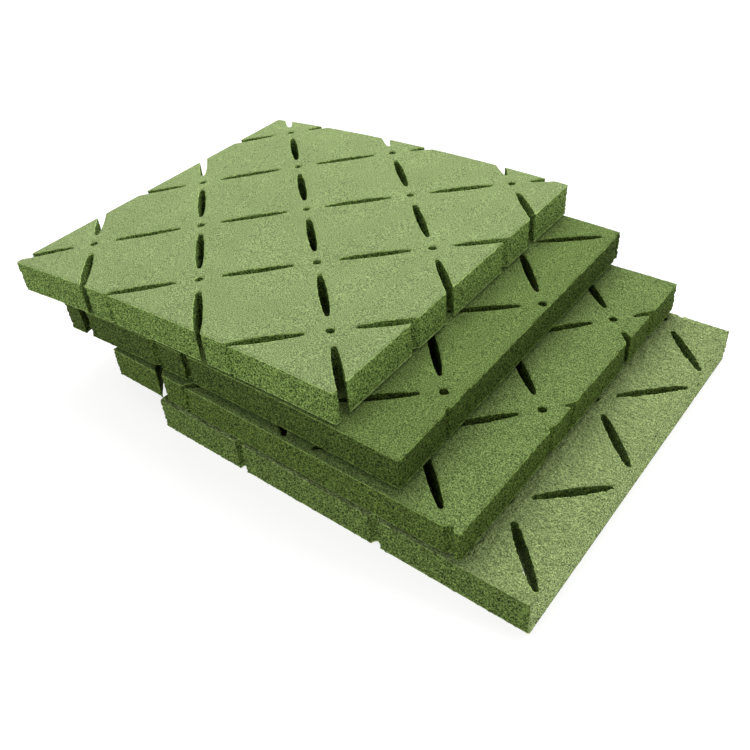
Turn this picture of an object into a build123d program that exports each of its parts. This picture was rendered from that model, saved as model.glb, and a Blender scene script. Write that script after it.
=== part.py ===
"""A loose stack of flat, square foam panels, each cut right through with a diagonal lattice.

Frame: millimetres, +Z up. The origin is under the middle of the stack's box, on the surface
that the bottom panel lies on. X runs along the bottom panel's length: the stack is fanned
towards -X, so every panel shows a strip of its top face at +X. Y runs across the panels.

Every panel is cut from one kind of sheet. The lattice is pressed into the sheet first and the
panels are cut out of it afterwards, so each panel has its crossings in another place, and slots
and pin holes that meet a panel's edge are open notches there.
"""
import os
from collections import namedtuple
from math import ceil, cos, hypot, radians, sin

from build123d import *

# ---- driving dimensions (mm) ----
PANEL_LENGTH = 292.0
PANEL_WIDTH = 286.0
PANEL_THICKNESS = 25.0
LATTICE_PITCH = 78.0  # from one crossing to the next, along either line of the lattice
SLOT_LENGTH = 51.0  # tip to tip; one slot lies midway between two crossings
SLOT_WIDTH = 5.5  # at the middle of the slot
PIN_HOLE_DIAMETER = 5.5  # one hole at each crossing
FAN_STEP = 44.5  # each panel lies this much further towards -X than the one below

# ---- lattice directions, in the panel's plane (degrees from the panel's length) ----
LATTICE_ANGLES = (45.0, -45.0)

# ---- how the panels lie, from the bottom up ----
# slip_x, slip_y: how far the panel has slipped from its even step (mm)
# turn: how far the panel is turned from the bottom one (degrees)
# crossing_x, crossing_y: the crossing nearest the panel's middle, in the panel's own axes (mm)
# lattice_turn: how far the lattice is out of square with the panel's edges (degrees)
Lay = namedtuple("Lay", "name slip_x slip_y turn crossing_x crossing_y lattice_turn")
STACK = (
    Lay("bottom_panel", 0.0, 0.0, 0.0, -11.1, 23.5, -0.5),
    Lay("lower_middle_panel", 1.3, 0.9, -0.1, -35.7, 13.6, 3.0),
    Lay("upper_middle_panel", -0.1, 2.6, 1.3, -27.4, -17.6, -3.2),
    Lay("top_panel", 0.6, 0.8, 1.9, -0.9, 11.1, 0.1),
)


def turned(x, y, degrees):
    """The point (x, y) turned about the origin."""
    c, s = cos(radians(degrees)), sin(radians(degrees))
    return c * x - s * y, s * x + c * y


def panel_middle(level):
    """Middle of a panel, measured from the middle of the bottom one."""
    lay = STACK[level]
    return lay.slip_x - level * FAN_STEP, lay.slip_y


def stack_corners():
    """Corners of all the panels, seen from above, measured from the bottom panel's middle."""
    corners = []
    for level, lay in enumerate(STACK):
        middle_x, middle_y = panel_middle(level)
        for side_x in (-PANEL_LENGTH / 2, PANEL_LENGTH / 2):
            for side_y in (-PANEL_WIDTH / 2, PANEL_WIDTH / 2):
                x, y = turned(side_x, side_y, lay.turn)
                corners.append((middle_x + x, middle_y + y))
    return corners


def box_middle():
    """Middle of the stack's box, seen from above, measured from the bottom panel's middle."""
    xs, ys = zip(*stack_corners())
    return (min(xs) + max(xs)) / 2, (min(ys) + max(ys)) / 2


def underside_plane(level):
    """The plane that a panel lies on, with X along the panel's length."""
    middle_x, middle_y = panel_middle(level)
    box_x, box_y = box_middle()
    length_axis = turned(1, 0, STACK[level].turn)
    return Plane(
        origin=(middle_x - box_x, middle_y - box_y, level * PANEL_THICKNESS),
        x_dir=(length_axis[0], length_axis[1], 0),
        z_dir=(0, 0, 1),
    )


def lattice_point(lay, across, along):
    """A point of the lattice, counted in pitches from the crossing nearest the middle."""
    x, y = lay.crossing_x, lay.crossing_y
    for count, angle in zip((across, along), LATTICE_ANGLES):
        step_x, step_y = turned(count * LATTICE_PITCH, 0, angle + lay.lattice_turn)
        x, y = x + step_x, y + step_y
    return x, y


def on_panel(x, y, margin=0.0):
    """Whether (x, y), in a panel's own axes, is on the panel or within a margin of it."""
    return abs(x) < PANEL_LENGTH / 2 + margin and abs(y) < PANEL_WIDTH / 2 + margin


def lattice_counts():
    """Whole pitches to either side of the middle that are enough to cover a panel."""
    span = ceil(hypot(PANEL_LENGTH, PANEL_WIDTH) / LATTICE_PITCH)
    return range(-span, span + 1)


def crossings(lay):
    """Middles of the pin holes of one panel, in its own axes."""
    points = [lattice_point(lay, a, b) for a in lattice_counts() for b in lattice_counts()]
    return [(x, y) for x, y in points if on_panel(x, y, PIN_HOLE_DIAMETER / 2)]


def slots(lay, direction):
    """Middles of the slots along one direction of the lattice, in the panel's own axes.

    A slot is made if one of its tips is on the panel. One that runs from edge to edge, across
    a corner, is left out, because it would cut the corner off.
    """
    half = (0.5, 0.0) if direction == 0 else (0.0, 0.5)
    slant = LATTICE_ANGLES[direction] + lay.lattice_turn
    tip_x, tip_y = turned(SLOT_LENGTH / 2, 0, slant)
    points = []
    for across in lattice_counts():
        for along in lattice_counts():
            x, y = lattice_point(lay, across + half[0], along + half[1])
            if on_panel(x + tip_x, y + tip_y) or on_panel(x - tip_x, y - tip_y):
                points.append((x, y))
    return points


os.makedirs("parts", exist_ok=True)

# outline of one slot: a long ellipse
with BuildSketch() as slot_outline:
    Ellipse(SLOT_LENGTH / 2, SLOT_WIDTH / 2)

for level, lay in enumerate(STACK):
    with BuildPart() as panel:
        # the slab
        with BuildSketch(underside_plane(level)):
            Rectangle(PANEL_LENGTH, PANEL_WIDTH)
        extrude(amount=PANEL_THICKNESS)
        # pin holes at the crossings
        with BuildSketch(underside_plane(level)):
            with Locations(*crossings(lay)):
                Circle(PIN_HOLE_DIAMETER / 2)
        extrude(amount=PANEL_THICKNESS, mode=Mode.SUBTRACT)
        # slots between the crossings, one set along each direction
        for direction, angle in enumerate(LATTICE_ANGLES):
            slant = angle + lay.lattice_turn
            with BuildSketch(underside_plane(level)):
                with Locations(*[Location((x, y), slant) for x, y in slots(lay, direction)]):
                    add(slot_outline.sketch)
            extrude(amount=PANEL_THICKNESS, mode=Mode.SUBTRACT)
    panel.part.label = lay.name
    export_step(panel.part, f"parts/{lay.name}.step")
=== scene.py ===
"""A fanned stack of foam panels, each die-cut right through with a diagonal lattice.

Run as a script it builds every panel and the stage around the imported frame. Laid out as an
add-on: the sizes and colours are properties, and each step is an operator.
"""
import math

import bpy
from bpy.props import EnumProperty, FloatProperty, FloatVectorProperty, PointerProperty
from mathutils import Matrix, Vector


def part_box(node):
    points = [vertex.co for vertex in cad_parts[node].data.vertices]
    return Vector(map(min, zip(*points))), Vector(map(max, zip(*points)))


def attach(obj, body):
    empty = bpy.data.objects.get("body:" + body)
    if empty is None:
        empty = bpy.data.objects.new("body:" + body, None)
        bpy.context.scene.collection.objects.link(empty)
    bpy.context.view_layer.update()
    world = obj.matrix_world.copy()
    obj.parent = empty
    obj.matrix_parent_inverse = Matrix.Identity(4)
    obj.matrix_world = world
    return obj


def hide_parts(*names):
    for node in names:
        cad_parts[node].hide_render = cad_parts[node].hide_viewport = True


bl_info = {
    "name": "Lattice-cut foam panel stack",
    "version": (1, 0, 0),
    "blender": (4, 5, 0),
    "location": "View3D > Sidebar > Foam stack",
    "description": "Builds a fanned stack of die-cut foam panels and a plain studio stage",
    "category": "Add Mesh",
}

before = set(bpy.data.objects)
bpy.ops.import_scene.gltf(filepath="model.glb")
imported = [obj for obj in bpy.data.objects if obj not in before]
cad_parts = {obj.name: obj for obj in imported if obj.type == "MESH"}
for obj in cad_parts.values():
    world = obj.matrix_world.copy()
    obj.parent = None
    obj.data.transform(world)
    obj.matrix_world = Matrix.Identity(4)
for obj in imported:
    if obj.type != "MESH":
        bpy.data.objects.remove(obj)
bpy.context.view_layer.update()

MM = 0.001

CUT_TREE = "Lattice-cut slab"
SKIN_TREE = "Foam skin"
CELLS_GROUP = "Foam cells"
CUT_ATTRIBUTE = "cut"

# ---------------------------------------------------------------- what each panel is

# body: the body it rides on; slot: the material slot it takes its finish from
# turn: how far the panel is turned in the stack (degrees)
# crossing: the lattice crossing nearest its middle, in its own axes (mm)
# lattice_turn: how far the lattice is out of square with its edges (degrees)
# bow: how the foam has lifted from flat (mm): all over, more towards +X, more towards +Y,
#      arched between its -X and +X edges, and twisted
# grain: contrast of the face's fine grain
# pebble: depth of the pebbles on the upper face (mm); pebbled: how much their tone varies,
# darker in their hollows and paler on their tops as painted shade, and how strong their bump is
# gap: how far the crushed lower edge stays off the panel below (mm)
# rind: how much the side at +X is painted with the paler skin colour and a coarser grain instead
# of the cut's, painted light on that side; over 1 it is painted paler still
# seed: where in the noise its grain starts
PANELS = {
    "bottom_panel": dict(
        body="bottom", slot="bottom_panel_foam", turn=0.0,
        crossing=(-11.1, 23.5), lattice_turn=-0.5, bow=(0.0, 0.0, 0.0, 0.0, 0.0),
        grain=1.2, pebble=1.2, pebble_shade_and_relief=0.25, gap=0.0, painted_end_light_and_grain=1.4, seed=11,
    ),
    "lower_middle_panel": dict(
        body="lower_middle", slot="lower_middle_panel_foam", turn=-0.1,
        crossing=(-35.7, 13.6), lattice_turn=3.0, bow=(0.0, 0.0, 0.0, 0.0, 0.0),
        grain=1.5, pebble=0.3, pebble_shade_and_relief=0.1, gap=2.8, painted_end_light_and_grain=0.0, seed=23,
    ),
    "upper_middle_panel": dict(
        body="upper_middle", slot="upper_middle_panel_foam", turn=1.3,
        crossing=(-27.4, -17.6), lattice_turn=-3.2, bow=(0.3, -0.1, 0.2, 4.0, 0.0),
        grain=1.5, pebble=0.12, pebble_shade_and_relief=0.05, gap=3.0, painted_end_light_and_grain=0.0, seed=37,
    ),
    "top_panel": dict(
        body="top", slot="top_panel_foam", turn=1.9,
        crossing=(-0.9, 11.1), lattice_turn=0.1, bow=(0.9, 1.6, 1.4, 4.6, -1.3),
        grain=1.2, pebble=0.12, pebble_shade_and_relief=0.0, gap=1.4, painted_end_light_and_grain=0.0, seed=53,
    ),
}
BOWS = ("Lift", "Lift X", "Lift Y", "Arch", "Twist")

# ---------------------------------------------------------------- what the foam looks like

# how fine its noises are (repeats in a metre)
FACE_GRAIN = 1300.0
PEBBLE_GRAIN = 430.0
CLOUD_GRAIN = 25.0
SIDE_GRAIN = 1000.0
SIDE_CELLS = 800.0

# how strongly they show
CLOUD_CONTRAST = 0.25
SIDE_CONTRAST = 3.6
RIND_CONTRAST = 2.5  # how much more the rind's grain varies
WALL_SHARE = 0.35  # how much of a side's tone comes from its cells' walls, not from crumbs
PEBBLE_RELIEF = 16.0  # relief of the pebbles, as a multiple of the fine grain's

# tones, as multiples of the foam's own colour
DARKEST_FACE = 0.1
DARKEST_SIDE = 0.2
PAINTED_HIGHLIGHT_TONE = 2.1  # painted highlight: how much paler a panel's edge is painted
WALL_GREY = 0.012  # how grey the thin walls are

# where one look turns into another, as (start, end)
NOISE_SPAN = (0.3, 0.7)  # the middle of a noise's range, which is stretched over all of it
GRAIN_SPAN = (0.33, 0.67)  # the same for the fine grain, which is sharper
WALL_SPAN = (0.15, 0.75)  # from the middle of a torn cell to its wall
PAINTED_HIGHLIGHT_SPAN = (0.1, 0.7)  # painted highlight: from a panel's edge to where it isn't painted paler any more

# finish
FOAM_ROUGHNESS = 0.95
FOAM_SPECULAR = 0.15
FLOOR_ROUGHNESS = 0.8
BUMP_STRENGTH = 0.7
BUMP_DISTANCE = 0.0006
SEED_STEPS = (0.131, 0.173, 0.071)  # how far one seed's grain starts from the next one's (m)


# ---------------------------------------------------------------- what a user would change


def node_size(node):
    """Length, width and height of a frame node's box."""
    low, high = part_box(node)
    return [far - near for near, far in zip(low, high)]


# all panels have the same size, and the bottom one isn't turned, so its box gives that size
PANEL_LENGTH, PANEL_WIDTH, PANEL_THICKNESS = node_size("bottom_panel")


class LatticeSizes(bpy.types.PropertyGroup):
    """Sizes of one panel and of the lattice that is cut through it."""

    length: FloatProperty(
        name="Panel length", description="Length of every panel", default=PANEL_LENGTH,
        unit="LENGTH", subtype="DISTANCE",
    )
    width: FloatProperty(
        name="Panel width", description="Width of every panel", default=PANEL_WIDTH,
        unit="LENGTH", subtype="DISTANCE",
    )
    thickness: FloatProperty(
        name="Thickness", description="Thickness of every panel", default=PANEL_THICKNESS,
        unit="LENGTH", subtype="DISTANCE",
    )
    pitch: FloatProperty(
        name="Lattice pitch", description="From one crossing to the next", default=0.078,
        unit="LENGTH", subtype="DISTANCE",
    )
    slot_length: FloatProperty(
        name="Slot length", description="Tip to tip", default=0.051,
        unit="LENGTH", subtype="DISTANCE",
    )
    slot_width: FloatProperty(
        name="Slot width", description="At the middle of the slot", default=0.0055,
        unit="LENGTH", subtype="DISTANCE",
    )
    pin_hole: FloatProperty(
        name="Pin hole", description="Diameter of the hole at each crossing", default=0.0055,
        unit="LENGTH", subtype="DISTANCE",
    )


class FoamLook(bpy.types.PropertyGroup):
    """How coarse the foam is."""

    cell: FloatProperty(
        name="Mesh cell", description="Edge of one face of the foam's surface",
        default=0.0011, unit="LENGTH", subtype="DISTANCE",
    )
    side_depth: FloatProperty(
        name="Side roughness", description="Depth of the torn cells on the cut sides",
        default=0.0011, unit="LENGTH", subtype="DISTANCE",
    )
    side_grain: FloatProperty(
        name="Side cell size", description="Size of the torn cells on the cut sides",
        default=0.0025, unit="LENGTH", subtype="DISTANCE",
    )
    face_grain: FloatProperty(
        name="Face pebble size", description="Size of the pebbles on the upper face",
        default=0.0030, unit="LENGTH", subtype="DISTANCE",
    )


def foam_colour(name, default):
    """A colour that a user can change."""
    return FloatVectorProperty(
        name=name, description=f"Colour of the {name.lower()}", subtype="COLOR", size=3,
        min=0.0, max=1.0, default=default,
    )


class FoamColours(bpy.types.PropertyGroup):
    """Colours of each panel's skin, which is the sheet's own face, and of its cut sides, with
    painted shade in them.
    """

    # the cut sides are darker than the skin: partly the foam's open cells, partly painted shade
    # on the sides
    bottom_panel_skin: foam_colour("Bottom panel's skin", (0.224, 0.293, 0.110))
    bottom_panel_cut: foam_colour("Bottom panel's cut sides", (0.078, 0.122, 0.024))
    # the two middle panels are painted darker than the top and bottom ones: painted shade from
    # the panels over them and at the steps
    lower_middle_panel_skin: foam_colour("Lower middle panel's skin", (0.130, 0.190, 0.054))
    lower_middle_panel_cut: foam_colour("Lower middle panel's cut sides", (0.053, 0.087, 0.011))
    upper_middle_panel_skin: foam_colour("Upper middle panel's skin", (0.113, 0.169, 0.043))
    upper_middle_panel_cut: foam_colour("Upper middle panel's cut sides", (0.037, 0.062, 0.006))
    top_panel_skin: foam_colour("Top panel's skin", (0.196, 0.260, 0.101))
    top_panel_cut: foam_colour("Top panel's cut sides", (0.107, 0.168, 0.036))


class StageLook(bpy.types.PropertyGroup):
    """Floor, light and camera."""

    floor_colour: FloatVectorProperty(
        name="Floor", description="Colour of the floor", subtype="COLOR", size=3,
        min=0.0, max=1.0, default=(0.32, 0.32, 0.32),
    )
    floor_glow: FloatProperty(
        name="Floor glow", description="Light given by the floor itself, as a light table does",
        default=0.75,
    )
    sky: FloatProperty(
        name="Sky", description="Strength of the even light from all round", default=0.9,
    )
    key: FloatProperty(
        name="Key light", description="Power of the large soft light", default=17.0,
        unit="POWER",
    )
    key_size: FloatVectorProperty(
        name="Key size", description="Sides of the large soft light", size=2,
        default=(1.0, 0.8), unit="LENGTH",
    )
    key_place: FloatVectorProperty(
        name="Key place", description="Where the large soft light hangs", size=3,
        default=(-0.25, 0.55, 1.1), subtype="TRANSLATION",
    )
    key_target: FloatVectorProperty(
        name="Key target", description="What the large soft light is aimed at", size=3,
        default=(0.0, 0.0, 0.05), subtype="TRANSLATION",
    )
    camera_place: FloatVectorProperty(
        name="Camera place", description="Where the camera stands", subtype="TRANSLATION",
        size=3, default=(0.3194, -0.3705, 0.3744),
    )
    camera_target: FloatVectorProperty(
        name="Camera target", description="What the camera looks at", subtype="TRANSLATION",
        size=3, default=(0.0525, -0.0632, 0.0500),
    )
    camera_roll: FloatProperty(
        name="Camera roll", description="How far the camera is tipped sideways",
        default=math.radians(4.71), subtype="ANGLE", unit="ROTATION",
    )
    lens: FloatProperty(
        name="Lens", description="Focal length on a 36 mm sensor, in mm", default=38.4,
    )


# ---------------------------------------------------------------- helpers for node trees


def add_node(tree, kind, inputs=None, **settings):
    """A node with its settings made and its inputs linked or set, by name or number."""
    node = tree.nodes.new(kind)
    for name, value in settings.items():
        setattr(node, name, value)
    for key, value in (inputs or {}).items():
        socket = node.inputs[key]
        if isinstance(value, bpy.types.NodeSocket):
            tree.links.new(value, socket)
        else:
            socket.default_value = value
    return node


def maths(tree, operation, *values):
    """The output of one Math node."""
    kind = "ShaderNodeMath"
    return add_node(tree, kind, dict(enumerate(values)), operation=operation).outputs[0]


def vector_maths(tree, operation, *values):
    """The output of one Vector Math node that gives a vector."""
    kind = "ShaderNodeVectorMath"
    return add_node(tree, kind, dict(enumerate(values)), operation=operation).outputs[0]


def combine(tree, x=0.0, y=0.0, z=0.0):
    """A vector from three values."""
    return add_node(tree, "ShaderNodeCombineXYZ", {"X": x, "Y": y, "Z": z}).outputs[0]


def separate(tree, vector):
    """The three values of a vector."""
    return add_node(tree, "ShaderNodeSeparateXYZ", {"Vector": vector}).outputs


def smooth_step(tree, value, low, high, to_low=0.0, to_high=1.0):
    """A value mapped smoothly from one range onto another."""
    node = add_node(
        tree, "ShaderNodeMapRange", {0: value, 1: low, 2: high, 3: to_low, 4: to_high},
        interpolation_type="SMOOTHSTEP",
    )
    return node.outputs[0]


def new_tree(name, kind, inputs, outputs):
    """An empty node tree with named sockets; returns it, its inputs and its output node."""
    tree = bpy.data.node_groups.new(name, kind)
    for socket_name, socket_kind in inputs:
        tree.interface.new_socket(socket_name, in_out="INPUT", socket_type=socket_kind)
    for socket_name, socket_kind in outputs:
        tree.interface.new_socket(socket_name, in_out="OUTPUT", socket_type=socket_kind)
    given = tree.nodes.new("NodeGroupInput").outputs
    result = tree.nodes.new("NodeGroupOutput")
    return tree, given, result


def finish_geometry(tree, geometry, material, result):
    """Ends a geometry tree in Realize Instances and Set Material."""
    real = add_node(tree, "GeometryNodeRealizeInstances", {"Geometry": geometry})
    painted = add_node(
        tree, "GeometryNodeSetMaterial",
        {"Geometry": real.outputs["Geometry"], "Material": material},
    )
    tree.links.new(painted.outputs["Geometry"], result.inputs["Geometry"])


def set_inputs(modifier, values):
    """Sets a Geometry Nodes modifier's inputs by their sockets' identifiers."""
    for item in modifier.node_group.interface.items_tree:
        if item.item_type == "SOCKET" and item.in_out == "INPUT" and item.name in values:
            modifier[item.identifier] = values[item.name]


# ---------------------------------------------------------------- geometry trees

GEOMETRY = ("Geometry", "NodeSocketGeometry")
LATTICE_POINTS = 15  # crossings along one line of the lattice, more than any panel needs
LATTICE_SLANT = math.radians(-45.0)
CUTTER_OVERRUN = 1.6  # how tall a cutter is, in panel thicknesses
HOLE_SIDES = 20
SLOT_STEPS = 25  # points along each side of a slot
TIP_WIDTH = 0.04  # width of a slot at its tips, as a share of its width
RIND_DEPTH = 0.003  # how deep in from the end of a panel the side at +X can take the skin's colour
RIM_BLUR = 2  # how many mesh cells the edge between a face and a side is spread over
CRUSHED_WIDTH = 0.012  # how far in from its border a panel's lower edge is crushed
CRUSHED_HEIGHT = 0.008  # how far up from its underside
RELIEF_ROUGHNESS = 0.6  # how much of the relief's noise is fine

# slopes of the surface where one part of a panel turns into another, as (start, end)
SIDE_SLOPE = (0.45, 0.85)  # from a side to a face, by how level the surface is
TOP_SLOPE = (0.6, 0.95)  # from a side to the upper face, by how far the surface looks up
END_SLOPE = (0.5, 0.85)  # to the side at +X, by how far the surface looks along X


def slot_cutter(tree, given, height):
    """A prism with the outline of one slot: a long ellipse.

    It starts as a bar; the spacing of its points is drawn in towards the tips, and its width
    is narrowed to the ellipse's.
    """
    bar = add_node(
        tree, "GeometryNodeMeshCube",
        {"Size": combine(tree, 2.0, given["Slot Width"], height), "Vertices X": SLOT_STEPS},
    ).outputs["Mesh"]
    position = add_node(tree, "GeometryNodeInputPosition").outputs[0]
    x, y, z = separate(tree, position)
    angle = maths(tree, "MULTIPLY", x, math.pi / 2)
    half_slot = maths(tree, "MULTIPLY", given["Slot Length"], 0.5)
    along = maths(tree, "MULTIPLY", maths(tree, "SINE", angle), half_slot)
    narrowing = maths(tree, "MAXIMUM", maths(tree, "COSINE", angle), TIP_WIDTH)
    across = maths(tree, "MULTIPLY", y, narrowing)
    return add_node(
        tree, "GeometryNodeSetPosition",
        {"Geometry": bar, "Position": combine(tree, along, across, z)},
    ).outputs[0]


def near_panel(tree, points, given, reach):
    """Only the points within reach of the panel's outline."""
    position = add_node(tree, "GeometryNodeInputPosition").outputs[0]
    x, y, _ = separate(tree, position)
    beyond = []
    for value, extent in ((x, given["Length"]), (y, given["Width"])):
        limit = maths(tree, "ADD", maths(tree, "MULTIPLY", extent, 0.5), reach)
        beyond.append(maths(tree, "GREATER_THAN", maths(tree, "ABSOLUTE", value), limit))
    outside = maths(tree, "MAXIMUM", *beyond)
    return add_node(
        tree, "GeometryNodeDeleteGeometry", {"Geometry": points, "Selection": outside},
        domain="POINT",
    ).outputs[0]


def build_cut_tree():
    """A plain slab with a slot on each line of the lattice and a pin hole at each crossing."""
    sizes = ("Length", "Width", "Thickness", "Pitch", "Slot Length", "Slot Width", "Pin Hole")
    inputs = [GEOMETRY] + [(name, "NodeSocketFloat") for name in sizes]
    inputs += [("Crossing", "NodeSocketVector"), ("Lattice Turn", "NodeSocketFloat")]
    inputs += [("Material", "NodeSocketMaterial")]
    tree, given, result = new_tree(CUT_TREE, "GeometryNodeTree", inputs, [GEOMETRY])
    tree.is_modifier = True

    # the lattice: a square grid, turned, with one crossing where the panel has it
    span = maths(tree, "MULTIPLY", given["Pitch"], LATTICE_POINTS - 1.0)
    grid = add_node(
        tree, "GeometryNodeMeshGrid",
        {
            "Size X": span, "Size Y": span,
            "Vertices X": LATTICE_POINTS, "Vertices Y": LATTICE_POINTS,
        },
    ).outputs["Mesh"]
    angle = maths(tree, "ADD", given["Lattice Turn"], LATTICE_SLANT)
    turn = add_node(
        tree, "FunctionNodeAxisAngleToRotation", {"Axis": (0.0, 0.0, 1.0), "Angle": angle},
    ).outputs[0]
    lattice = add_node(
        tree, "GeometryNodeTransform",
        {"Geometry": grid, "Translation": given["Crossing"], "Rotation": turn},
    ).outputs[0]

    height = maths(tree, "MULTIPLY", given["Thickness"], CUTTER_OVERRUN)

    # pin holes on the crossings
    crossings = add_node(tree, "GeometryNodeMeshToPoints", {"Mesh": lattice}, mode="VERTICES")
    radius = maths(tree, "MULTIPLY", given["Pin Hole"], 0.5)
    pin = add_node(
        tree, "GeometryNodeMeshCylinder",
        {"Vertices": HOLE_SIDES, "Radius": radius, "Depth": height},
    ).outputs["Mesh"]
    pins = add_node(
        tree, "GeometryNodeInstanceOnPoints",
        {"Points": near_panel(tree, crossings.outputs[0], given, radius), "Instance": pin},
    ).outputs[0]

    # slots on the lines between them, each turned along its line
    ends = add_node(tree, "GeometryNodeInputMeshEdgeVertices").outputs
    line = vector_maths(tree, "SUBTRACT", ends["Position 2"], ends["Position 1"])
    capture = add_node(
        tree, "GeometryNodeCaptureAttribute", {"Geometry": lattice}, domain="EDGE",
    )
    capture.capture_items.new("VECTOR", "Line")
    tree.links.new(line, capture.inputs["Line"])
    middles = add_node(
        tree, "GeometryNodeMeshToPoints", {"Mesh": capture.outputs["Geometry"]}, mode="EDGES",
    ).outputs[0]
    half_slot = maths(tree, "MULTIPLY", given["Slot Length"], 0.5)
    along_line = add_node(
        tree, "FunctionNodeAlignRotationToVector", {"Vector": capture.outputs["Line"]},
        axis="X", pivot_axis="Z",
    ).outputs[0]
    slots = add_node(
        tree, "GeometryNodeInstanceOnPoints",
        {
            "Points": near_panel(tree, middles, given, half_slot),
            "Instance": slot_cutter(tree, given, height),
            "Rotation": along_line,
        },
    ).outputs[0]

    slab = add_node(
        tree, "GeometryNodeMeshCube",
        {"Size": combine(tree, given["Length"], given["Width"], given["Thickness"])},
    ).outputs["Mesh"]
    cut = add_node(tree, "GeometryNodeMeshBoolean", {"Mesh 1": slab}, operation="DIFFERENCE")
    cut.solver = "EXACT"
    tree.links.new(slots, cut.inputs["Mesh 2"])
    tree.links.new(pins, cut.inputs["Mesh 2"])
    finish_geometry(tree, cut.outputs["Mesh"], given["Material"], result)
    return tree


def build_skin_tree():
    """Gives the remeshed slab its torn sides, pebbled upper face, crushed lower edge and bow.

    The slab comes in with its middle at the origin, and is put in its place in the stack.
    """
    names = (
        "Length", "Width", "Thickness", "Side Depth", "Side Grain", "Face Depth", "Face Grain",
        "Gap", "Painted End Light And Grain", "Seed", "Turn", *BOWS,
    )
    inputs = [GEOMETRY] + [(name, "NodeSocketFloat") for name in names]
    inputs += [("Place", "NodeSocketVector"), ("Material", "NodeSocketMaterial")]
    tree, given, result = new_tree(SKIN_TREE, "GeometryNodeTree", inputs, [GEOMETRY])
    tree.is_modifier = True

    # which way the surface faces, before it is roughened: 1 on a cut side, 0 on a face
    position = add_node(tree, "GeometryNodeInputPosition").outputs[0]
    spot = separate(tree, position)
    normal = add_node(tree, "GeometryNodeInputNormal").outputs[0]
    facing = separate(tree, normal)
    upward = facing[2]
    level = maths(tree, "ABSOLUTE", upward)
    is_side = smooth_step(tree, level, *SIDE_SLOPE, 1.0, 0.0)
    # ... where it takes the cut colour: not on the side at +X, where Rind paints the skin's
    # colour instead as painted light; a Rind over 1 makes the value negative, which the foam
    # shader paints paler still
    reach = maths(tree, "MULTIPLY_ADD", given["Length"], 0.5, -RIND_DEPTH)
    at_end = maths(tree, "GREATER_THAN", spot[0], reach)
    on_rind = maths(tree, "MULTIPLY", at_end, smooth_step(tree, facing[0], *END_SLOPE))
    kept = maths(tree, "MULTIPLY", on_rind, given["Painted End Light And Grain"])
    looks_cut = maths(tree, "MULTIPLY", is_side, maths(tree, "SUBTRACT", 1.0, kept))
    looks_cut = add_node(
        tree, "GeometryNodeBlurAttribute", {"Value": looks_cut, "Iterations": RIM_BLUR},
    ).outputs[0]
    marked = add_node(
        tree, "GeometryNodeStoreNamedAttribute",
        {"Geometry": given["Geometry"], "Name": CUT_ATTRIBUTE, "Value": looks_cut},
        data_type="FLOAT", domain="POINT",
    ).outputs[0]

    # torn cells on the sides, pebbles on the upper face; both only go inwards
    is_top = smooth_step(tree, upward, *TOP_SLOPE)
    depths = []
    for here, part, detail in ((is_side, "Side", 2.0), (is_top, "Face", 1.0)):
        noise = add_node(
            tree, "ShaderNodeTexNoise",
            {
                "Vector": position, "W": given["Seed"], "Detail": detail,
                "Roughness": RELIEF_ROUGHNESS,
                "Scale": maths(tree, "DIVIDE", 1.0, given[f"{part} Grain"]),
            },
            noise_dimensions="4D",
        ).outputs[0]
        pits = smooth_step(tree, noise, *NOISE_SPAN)
        deepest = maths(tree, "MULTIPLY", here, given[f"{part} Depth"])
        depths.append(maths(tree, "MULTIPLY", deepest, pits))
    depth = maths(tree, "MULTIPLY", maths(tree, "ADD", *depths), -1.0)
    inward = add_node(
        tree, "ShaderNodeVectorMath", {0: normal, "Scale": depth}, operation="SCALE",
    ).outputs[0]
    rough = add_node(
        tree, "GeometryNodeSetPosition", {"Geometry": marked, "Offset": inward},
    ).outputs[0]

    # how far in from the border a point lies, and its place from -1 to 1, along x and y
    insets = []
    places = []
    for value, extent in ((spot[0], given["Length"]), (spot[1], given["Width"])):
        half = maths(tree, "MULTIPLY", extent, 0.5)
        insets.append(maths(tree, "SUBTRACT", half, maths(tree, "ABSOLUTE", value)))
        places.append(maths(tree, "DIVIDE", maths(tree, "MULTIPLY", value, 2.0), extent))

    # the lower edge, crushed upwards
    inset = maths(tree, "MINIMUM", *insets)
    near_border = smooth_step(tree, inset, 0.0, CRUSHED_WIDTH, 1.0, 0.0)
    above_under = maths(tree, "MULTIPLY_ADD", given["Thickness"], 0.5, spot[2])
    near_under = smooth_step(tree, above_under, 0.0, CRUSHED_HEIGHT, 1.0, 0.0)
    crushed = maths(tree, "MULTIPLY", near_border, near_under)

    # the bow
    x, y = places
    lift = maths(tree, "MULTIPLY_ADD", crushed, given["Gap"], given["Lift"])
    arch = maths(tree, "SUBTRACT", 1.0, maths(tree, "MULTIPLY", x, x))
    twist = maths(tree, "MULTIPLY", x, y)
    for share, name in ((x, "Lift X"), (y, "Lift Y"), (arch, "Arch"), (twist, "Twist")):
        lift = maths(tree, "MULTIPLY_ADD", share, given[name], lift)
    raised = maths(tree, "MULTIPLY_ADD", given["Thickness"], 0.5, lift)
    bowed = add_node(
        tree, "GeometryNodeSetPosition", {"Geometry": rough, "Offset": combine(tree, z=raised)},
    ).outputs[0]
    turn = add_node(
        tree, "FunctionNodeAxisAngleToRotation",
        {"Axis": (0.0, 0.0, 1.0), "Angle": given["Turn"]},
    ).outputs[0]
    placed = add_node(
        tree, "GeometryNodeTransform",
        {"Geometry": bowed, "Translation": given["Place"], "Rotation": turn},
    ).outputs[0]
    smooth = add_node(tree, "GeometryNodeSetShadeSmooth", {"Geometry": placed}).outputs[0]
    finish_geometry(tree, smooth, given["Material"], result)
    return tree


# ---------------------------------------------------------------- materials


def tone(tree, colour, amount):
    """A colour made lighter or darker by an amount around 1."""
    node = add_node(
        tree, "ShaderNodeVectorMath", {0: colour, "Scale": amount}, operation="SCALE",
    )
    return node.outputs[0]


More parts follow.
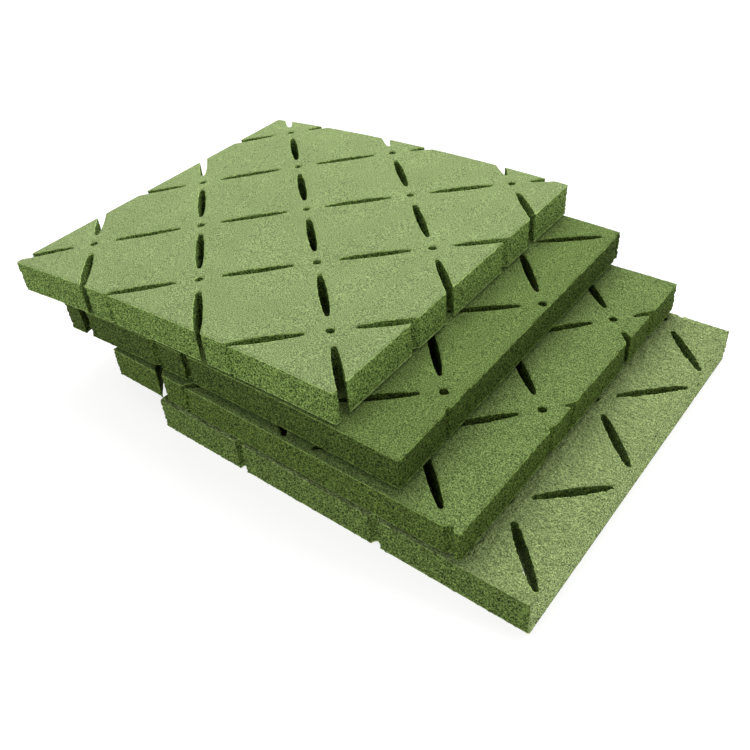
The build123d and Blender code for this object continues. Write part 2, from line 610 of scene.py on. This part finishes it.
def paler(tree, colour, amount):
    """A colour greyed where the amount is over 1, as thin torn walls are."""
    over = maths(tree, "MAXIMUM", maths(tree, "SUBTRACT", amount, 1.0), 0.0)
    grey = maths(tree, "MULTIPLY", over, WALL_GREY)
    return vector_maths(tree, "ADD", colour, combine(tree, grey, grey, grey))


def build_cells_group():
    """Colour and height of the foam: fine grain on the faces, torn open cells on the sides."""
    inputs = [
        ("Vector", "NodeSocketVector"), ("Skin Colour", "NodeSocketColor"),
        ("Cut Colour", "NodeSocketColor"), ("Cut", "NodeSocketFloat"),
        ("Face Contrast", "NodeSocketFloat"), ("Side Contrast", "NodeSocketFloat"),
        ("Pebbles", "NodeSocketFloat"),
    ]
    outputs = [("Color", "NodeSocketColor"), ("Height", "NodeSocketFloat")]
    tree, given, result = new_tree(CELLS_GROUP, "ShaderNodeTree", inputs, outputs)

    def noise(scale, detail, roughness=0.5):
        return add_node(
            tree, "ShaderNodeTexNoise",
            {
                "Vector": given["Vector"], "Scale": scale, "Detail": detail,
                "Roughness": roughness,
            },
        ).outputs[0]

    def around_one(value, contrast):
        centred = maths(tree, "SUBTRACT", value, 0.5)
        return maths(tree, "MULTIPLY_ADD", centred, contrast, 1.0)

    # faces: sharp grain under a millimetre wide, pebbles of two or three, faint wide clouds
    fine = noise(FACE_GRAIN, detail=2.0, roughness=0.7)
    grain = smooth_step(tree, fine, *GRAIN_SPAN)
    lumps = noise(PEBBLE_GRAIN, detail=1.0, roughness=0.6)
    pebbles = smooth_step(tree, lumps, *NOISE_SPAN)
    clouds = noise(CLOUD_GRAIN, detail=2.0)
    # where Cut is under 0, on the side at +X, the grain is coarser and the colour painted paler:
    # painted light on that side
    painted_end_light_and_grain = maths(tree, "MAXIMUM", maths(tree, "MULTIPLY", given["Cut"], -1.0), 0.0)
    coarser = maths(tree, "MULTIPLY_ADD", painted_end_light_and_grain, RIND_CONTRAST, given["Face Contrast"])
    face_tone = maths(
        tree, "MULTIPLY", around_one(grain, coarser), around_one(clouds, CLOUD_CONTRAST),
    )
    # painted shade: each pebble darker in its hollow and paler on its top, by Pebbles
    face_tone = maths(tree, "MULTIPLY", face_tone, around_one(pebbles, given["Pebbles"]))
    face_height = maths(
        tree, "MULTIPLY_ADD", maths(tree, "MULTIPLY", given["Pebbles"], PEBBLE_RELIEF), pebbles,
        grain,
    )
    # sides: cells a little over a millimetre wide, dark inside as painted shade in the open
    # pits, with pale torn walls
    cells = add_node(
        tree, "ShaderNodeTexVoronoi",
        {"Vector": given["Vector"], "Scale": SIDE_CELLS, "Randomness": 1.0},
    ).outputs["Distance"]
    walls = maths(tree, "MULTIPLY", smooth_step(tree, cells, *WALL_SPAN), WALL_SHARE)
    crumbs = smooth_step(tree, noise(SIDE_GRAIN, detail=3.0, roughness=0.7), *NOISE_SPAN)
    torn = maths(tree, "MULTIPLY_ADD", crumbs, 1.0 - WALL_SHARE, walls)
    side_tone = around_one(torn, given["Side Contrast"])

    face_tone = maths(tree, "MAXIMUM", face_tone, DARKEST_FACE)
    side_tone = maths(tree, "MAXIMUM", side_tone, DARKEST_SIDE)
    face = paler(tree, tone(tree, given["Skin Colour"], face_tone), face_tone)
    side = paler(tree, tone(tree, given["Cut Colour"], side_tone), side_tone)
    mixed = add_node(
        tree, "ShaderNodeMix", {"Factor": given["Cut"], "A": face, "B": side},
        data_type="VECTOR",
    ).outputs[1]
    # a painted highlight: a paler line where a face turns over into a side
    off_edge = maths(tree, "ABSOLUTE", maths(tree, "MULTIPLY_ADD", given["Cut"], 2.0, -1.0))
    painted_highlight = smooth_step(tree, off_edge, *PAINTED_HIGHLIGHT_SPAN, PAINTED_HIGHLIGHT_TONE, 1.0)
    # painted light on the side at +X and the painted highlight along the edges, both as a paler
    # tone
    colour = tone(tree, mixed, maths(tree, "ADD", painted_highlight, painted_end_light_and_grain))
    height = add_node(
        tree, "ShaderNodeMix", {"Factor": given["Cut"], "A": face_height, "B": torn},
        data_type="FLOAT",
    )
    tree.links.new(colour, result.inputs["Color"])
    tree.links.new(height.outputs[0], result.inputs["Height"])
    return tree


def foam_material(name, facts, skin, cut_side):
    """The foam of one panel, with the colours of its skin and of its cut sides."""
    material = bpy.data.materials.new(f"{name}_foam")
    material.use_nodes = True
    tree = material.node_tree
    tree.nodes.clear()
    coordinates = add_node(tree, "ShaderNodeTexCoord").outputs["Object"]
    start = [facts["seed"] * step for step in SEED_STEPS]
    shifted = add_node(
        tree, "ShaderNodeMapping", {"Vector": coordinates, "Location": start},
    ).outputs[0]
    cut = add_node(tree, "ShaderNodeAttribute", attribute_name=CUT_ATTRIBUTE).outputs["Fac"]
    cells = add_node(
        tree, "ShaderNodeGroup", node_tree=bpy.data.node_groups[CELLS_GROUP],
        inputs={
            "Vector": shifted, "Cut": cut,
            "Skin Colour": (*skin, 1.0), "Cut Colour": (*cut_side, 1.0),
            "Face Contrast": facts["grain"], "Side Contrast": SIDE_CONTRAST,
            "Pebbles": facts["pebble_shade_and_relief"],
        },
    ).outputs
    bump = add_node(
        tree, "ShaderNodeBump",
        {"Strength": BUMP_STRENGTH, "Distance": BUMP_DISTANCE, "Height": cells["Height"]},
    ).outputs[0]
    foam = add_node(
        tree, "ShaderNodeBsdfPrincipled",
        {
            "Base Color": cells["Color"], "Roughness": FOAM_ROUGHNESS, "Normal": bump,
            "Specular IOR Level": FOAM_SPECULAR,
        },
    ).outputs[0]
    output = tree.nodes.new("ShaderNodeOutputMaterial")
    tree.links.new(foam, output.inputs["Surface"])
    return material


def floor_material(stage):
    """A pale floor that gives some light itself."""
    material = bpy.data.materials.new("floor_paint")
    material.use_nodes = True
    shader = material.node_tree.nodes["Principled BSDF"]
    shader.inputs["Base Color"].default_value = (*stage.floor_colour, 1.0)
    shader.inputs["Roughness"].default_value = FLOOR_ROUGHNESS
    shader.inputs["Emission Color"].default_value = (1.0, 1.0, 1.0, 1.0)
    shader.inputs["Emission Strength"].default_value = stage.floor_glow
    return material


# ---------------------------------------------------------------- operators

FLOOR_HALF = 4.0  # half of the floor's side
FLOOR_DROP = 0.0005  # how far the floor lies under the bottom panel, so that they don't coincide
SENSOR_WIDTH = 36.0  # of the camera (mm)
NEAREST_SEEN = 0.01  # how near the camera still sees (m)


def new_object(name, data):
    """An object in the scene."""
    made = bpy.data.objects.new(name, data)
    bpy.context.scene.collection.objects.link(made)
    return made


def baked(raw, name):
    """The object's evaluated mesh as a plain object; the raw one is removed."""
    graph = bpy.context.evaluated_depsgraph_get()
    graph.update()
    mesh = bpy.data.meshes.new_from_object(raw.evaluated_get(graph), depsgraph=graph)
    mesh.name = name
    piece = new_object(name, mesh)
    bpy.data.objects.remove(raw)
    return piece


class FOAMSTACK_OT_panel(bpy.types.Operator):
    """Build one foam panel in the place of its frame node"""

    bl_idname = "foamstack.panel"
    bl_label = "Foam panel"
    bl_options = {"REGISTER", "UNDO"}

    node: EnumProperty(
        name="Panel", description="Which panel of the stack",
        items=[(name, name.replace("_", " "), "") for name in PANELS],
    )

    def execute(self, context):
        facts = PANELS[self.node]
        sizes = context.scene.foam_lattice
        look = context.scene.foam_look
        colours = context.scene.foam_colours
        low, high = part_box(self.node)
        place = ((low[0] + high[0]) / 2, (low[1] + high[1]) / 2, low[2])
        skin_colour = getattr(colours, f"{self.node}_skin")
        cut_colour = getattr(colours, f"{self.node}_cut")
        material = foam_material(self.node, facts, skin_colour, cut_colour)
        raw = new_object("raw_panel", bpy.data.meshes.new("raw_panel"))

        # the remesh closes part of a cell at each thin tip of a slot, so the cutter is longer
        cut = raw.modifiers.new("cut", "NODES")
        cut.node_group = bpy.data.node_groups[CUT_TREE]
        set_inputs(cut, {
            "Length": sizes.length, "Width": sizes.width, "Thickness": sizes.thickness,
            "Pitch": sizes.pitch, "Slot Length": sizes.slot_length + look.cell / 2,
            "Slot Width": sizes.slot_width, "Pin Hole": sizes.pin_hole,
            "Crossing": (facts["crossing"][0] * MM, facts["crossing"][1] * MM, 0.0),
            "Lattice Turn": math.radians(facts["lattice_turn"]), "Material": material,
        })
        remesh = raw.modifiers.new("remesh", "REMESH")
        remesh.mode = "VOXEL"
        remesh.voxel_size = look.cell
        remesh.use_smooth_shade = True
        skin = raw.modifiers.new("skin", "NODES")
        skin.node_group = bpy.data.node_groups[SKIN_TREE]
        set_inputs(skin, {
            "Length": sizes.length, "Width": sizes.width, "Thickness": sizes.thickness,
            "Side Depth": look.side_depth, "Side Grain": look.side_grain,
            "Face Depth": facts["pebble"] * MM, "Face Grain": look.face_grain,
            "Gap": facts["gap"] * MM, "Painted End Light And Grain": facts["painted_end_light_and_grain"], "Seed": float(facts["seed"]),
            "Turn": math.radians(facts["turn"]), "Place": place, "Material": material,
            **{name: value * MM for name, value in zip(BOWS, facts["bow"])},
        })
        piece = baked(raw, f"{self.node}_foam")
        if len(piece.data.polygons) == 0:
            raise RuntimeError(f"{self.node}: the panel came out empty")
        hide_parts(self.node)
        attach(piece, facts["body"])
        return {"FINISHED"}


class FOAMSTACK_OT_stage(bpy.types.Operator):
    """Add the floor, the lights and the camera"""

    bl_idname = "foamstack.stage"
    bl_label = "Stage"
    bl_options = {"REGISTER", "UNDO"}

    def execute(self, context):
        stage = context.scene.foam_stage
        scene = context.scene
        mesh = bpy.data.meshes.new("floor")
        quarters = ((-1, -1), (1, -1), (1, 1), (-1, 1))
        corners = [(x * FLOOR_HALF, y * FLOOR_HALF, 0.0) for x, y in quarters]
        mesh.from_pydata(corners, [], [(0, 1, 2, 3)])
        floor = new_object("floor", mesh)
        floor.location.z = -FLOOR_DROP
        mesh.materials.append(floor_material(stage))

        world = bpy.data.worlds.new("soft_sky")
        world.use_nodes = True
        background = world.node_tree.nodes["Background"]
        background.inputs["Color"].default_value = (1.0, 1.0, 1.0, 1.0)
        background.inputs["Strength"].default_value = stage.sky
        scene.world = world

        key = bpy.data.lights.new("key", "AREA")
        key.shape = "RECTANGLE"
        key.size, key.size_y = stage.key_size
        key.energy = stage.key
        lamp = new_object("key", key)
        lamp.location = stage.key_place
        aim = Vector(stage.key_target) - lamp.location
        lamp.rotation_euler = aim.to_track_quat("-Z", "Y").to_euler()

        camera = bpy.data.cameras.new("camera")
        camera.lens = stage.lens
        camera.sensor_width = SENSOR_WIDTH
        camera.clip_start = NEAREST_SEEN
        eye = new_object("camera", camera)
        look = (Vector(stage.camera_target) - Vector(stage.camera_place)).normalized()
        upright = look.to_track_quat("-Z", "Y").to_matrix().to_4x4()
        rolled = upright @ Matrix.Rotation(-stage.camera_roll, 4, "Z")
        eye.matrix_world = Matrix.Translation(stage.camera_place) @ rolled
        scene.camera = eye
        scene.view_settings.view_transform = "Standard"
        return {"FINISHED"}


class FOAMSTACK_PT_sidebar(bpy.types.Panel):
    """Sizes, looks and steps of the foam stack"""

    bl_idname = "FOAMSTACK_PT_sidebar"
    bl_label = "Foam stack"
    bl_space_type = "VIEW_3D"
    bl_region_type = "UI"
    bl_category = "Foam stack"

    def draw(self, context):
        scene = context.scene
        groups = (scene.foam_lattice, scene.foam_look, scene.foam_colours, scene.foam_stage)
        for group in groups:
            box = self.layout.box()
            for name in group.__annotations__:
                box.prop(group, name)
        for name in PANELS:
            step = self.layout.operator(FOAMSTACK_OT_panel.bl_idname, text=name)
            step.node = name
        self.layout.operator(FOAMSTACK_OT_stage.bl_idname)


CLASSES = (
    LatticeSizes, FoamLook, FoamColours, StageLook,
    FOAMSTACK_OT_panel, FOAMSTACK_OT_stage, FOAMSTACK_PT_sidebar,
)


def register():
    """Makes the add-on's classes and properties known to Blender."""
    for cls in CLASSES:
        bpy.utils.register_class(cls)
    bpy.types.Scene.foam_lattice = PointerProperty(type=LatticeSizes)
    bpy.types.Scene.foam_look = PointerProperty(type=FoamLook)
    bpy.types.Scene.foam_colours = PointerProperty(type=FoamColours)
    bpy.types.Scene.foam_stage = PointerProperty(type=StageLook)


def unregister():
    """Takes them away again, in the opposite order."""
    del bpy.types.Scene.foam_stage
    del bpy.types.Scene.foam_colours
    del bpy.types.Scene.foam_look
    del bpy.types.Scene.foam_lattice
    for cls in reversed(CLASSES):
        bpy.utils.unregister_class(cls)


def main():
    """Builds the trees, the panels and the stage."""
    register()
    build_cut_tree()
    build_skin_tree()
    build_cells_group()
    for name in PANELS:
        bpy.ops.foamstack.panel(node=name)
    bpy.ops.foamstack.stage()


if __name__ == "__main__":
    main()
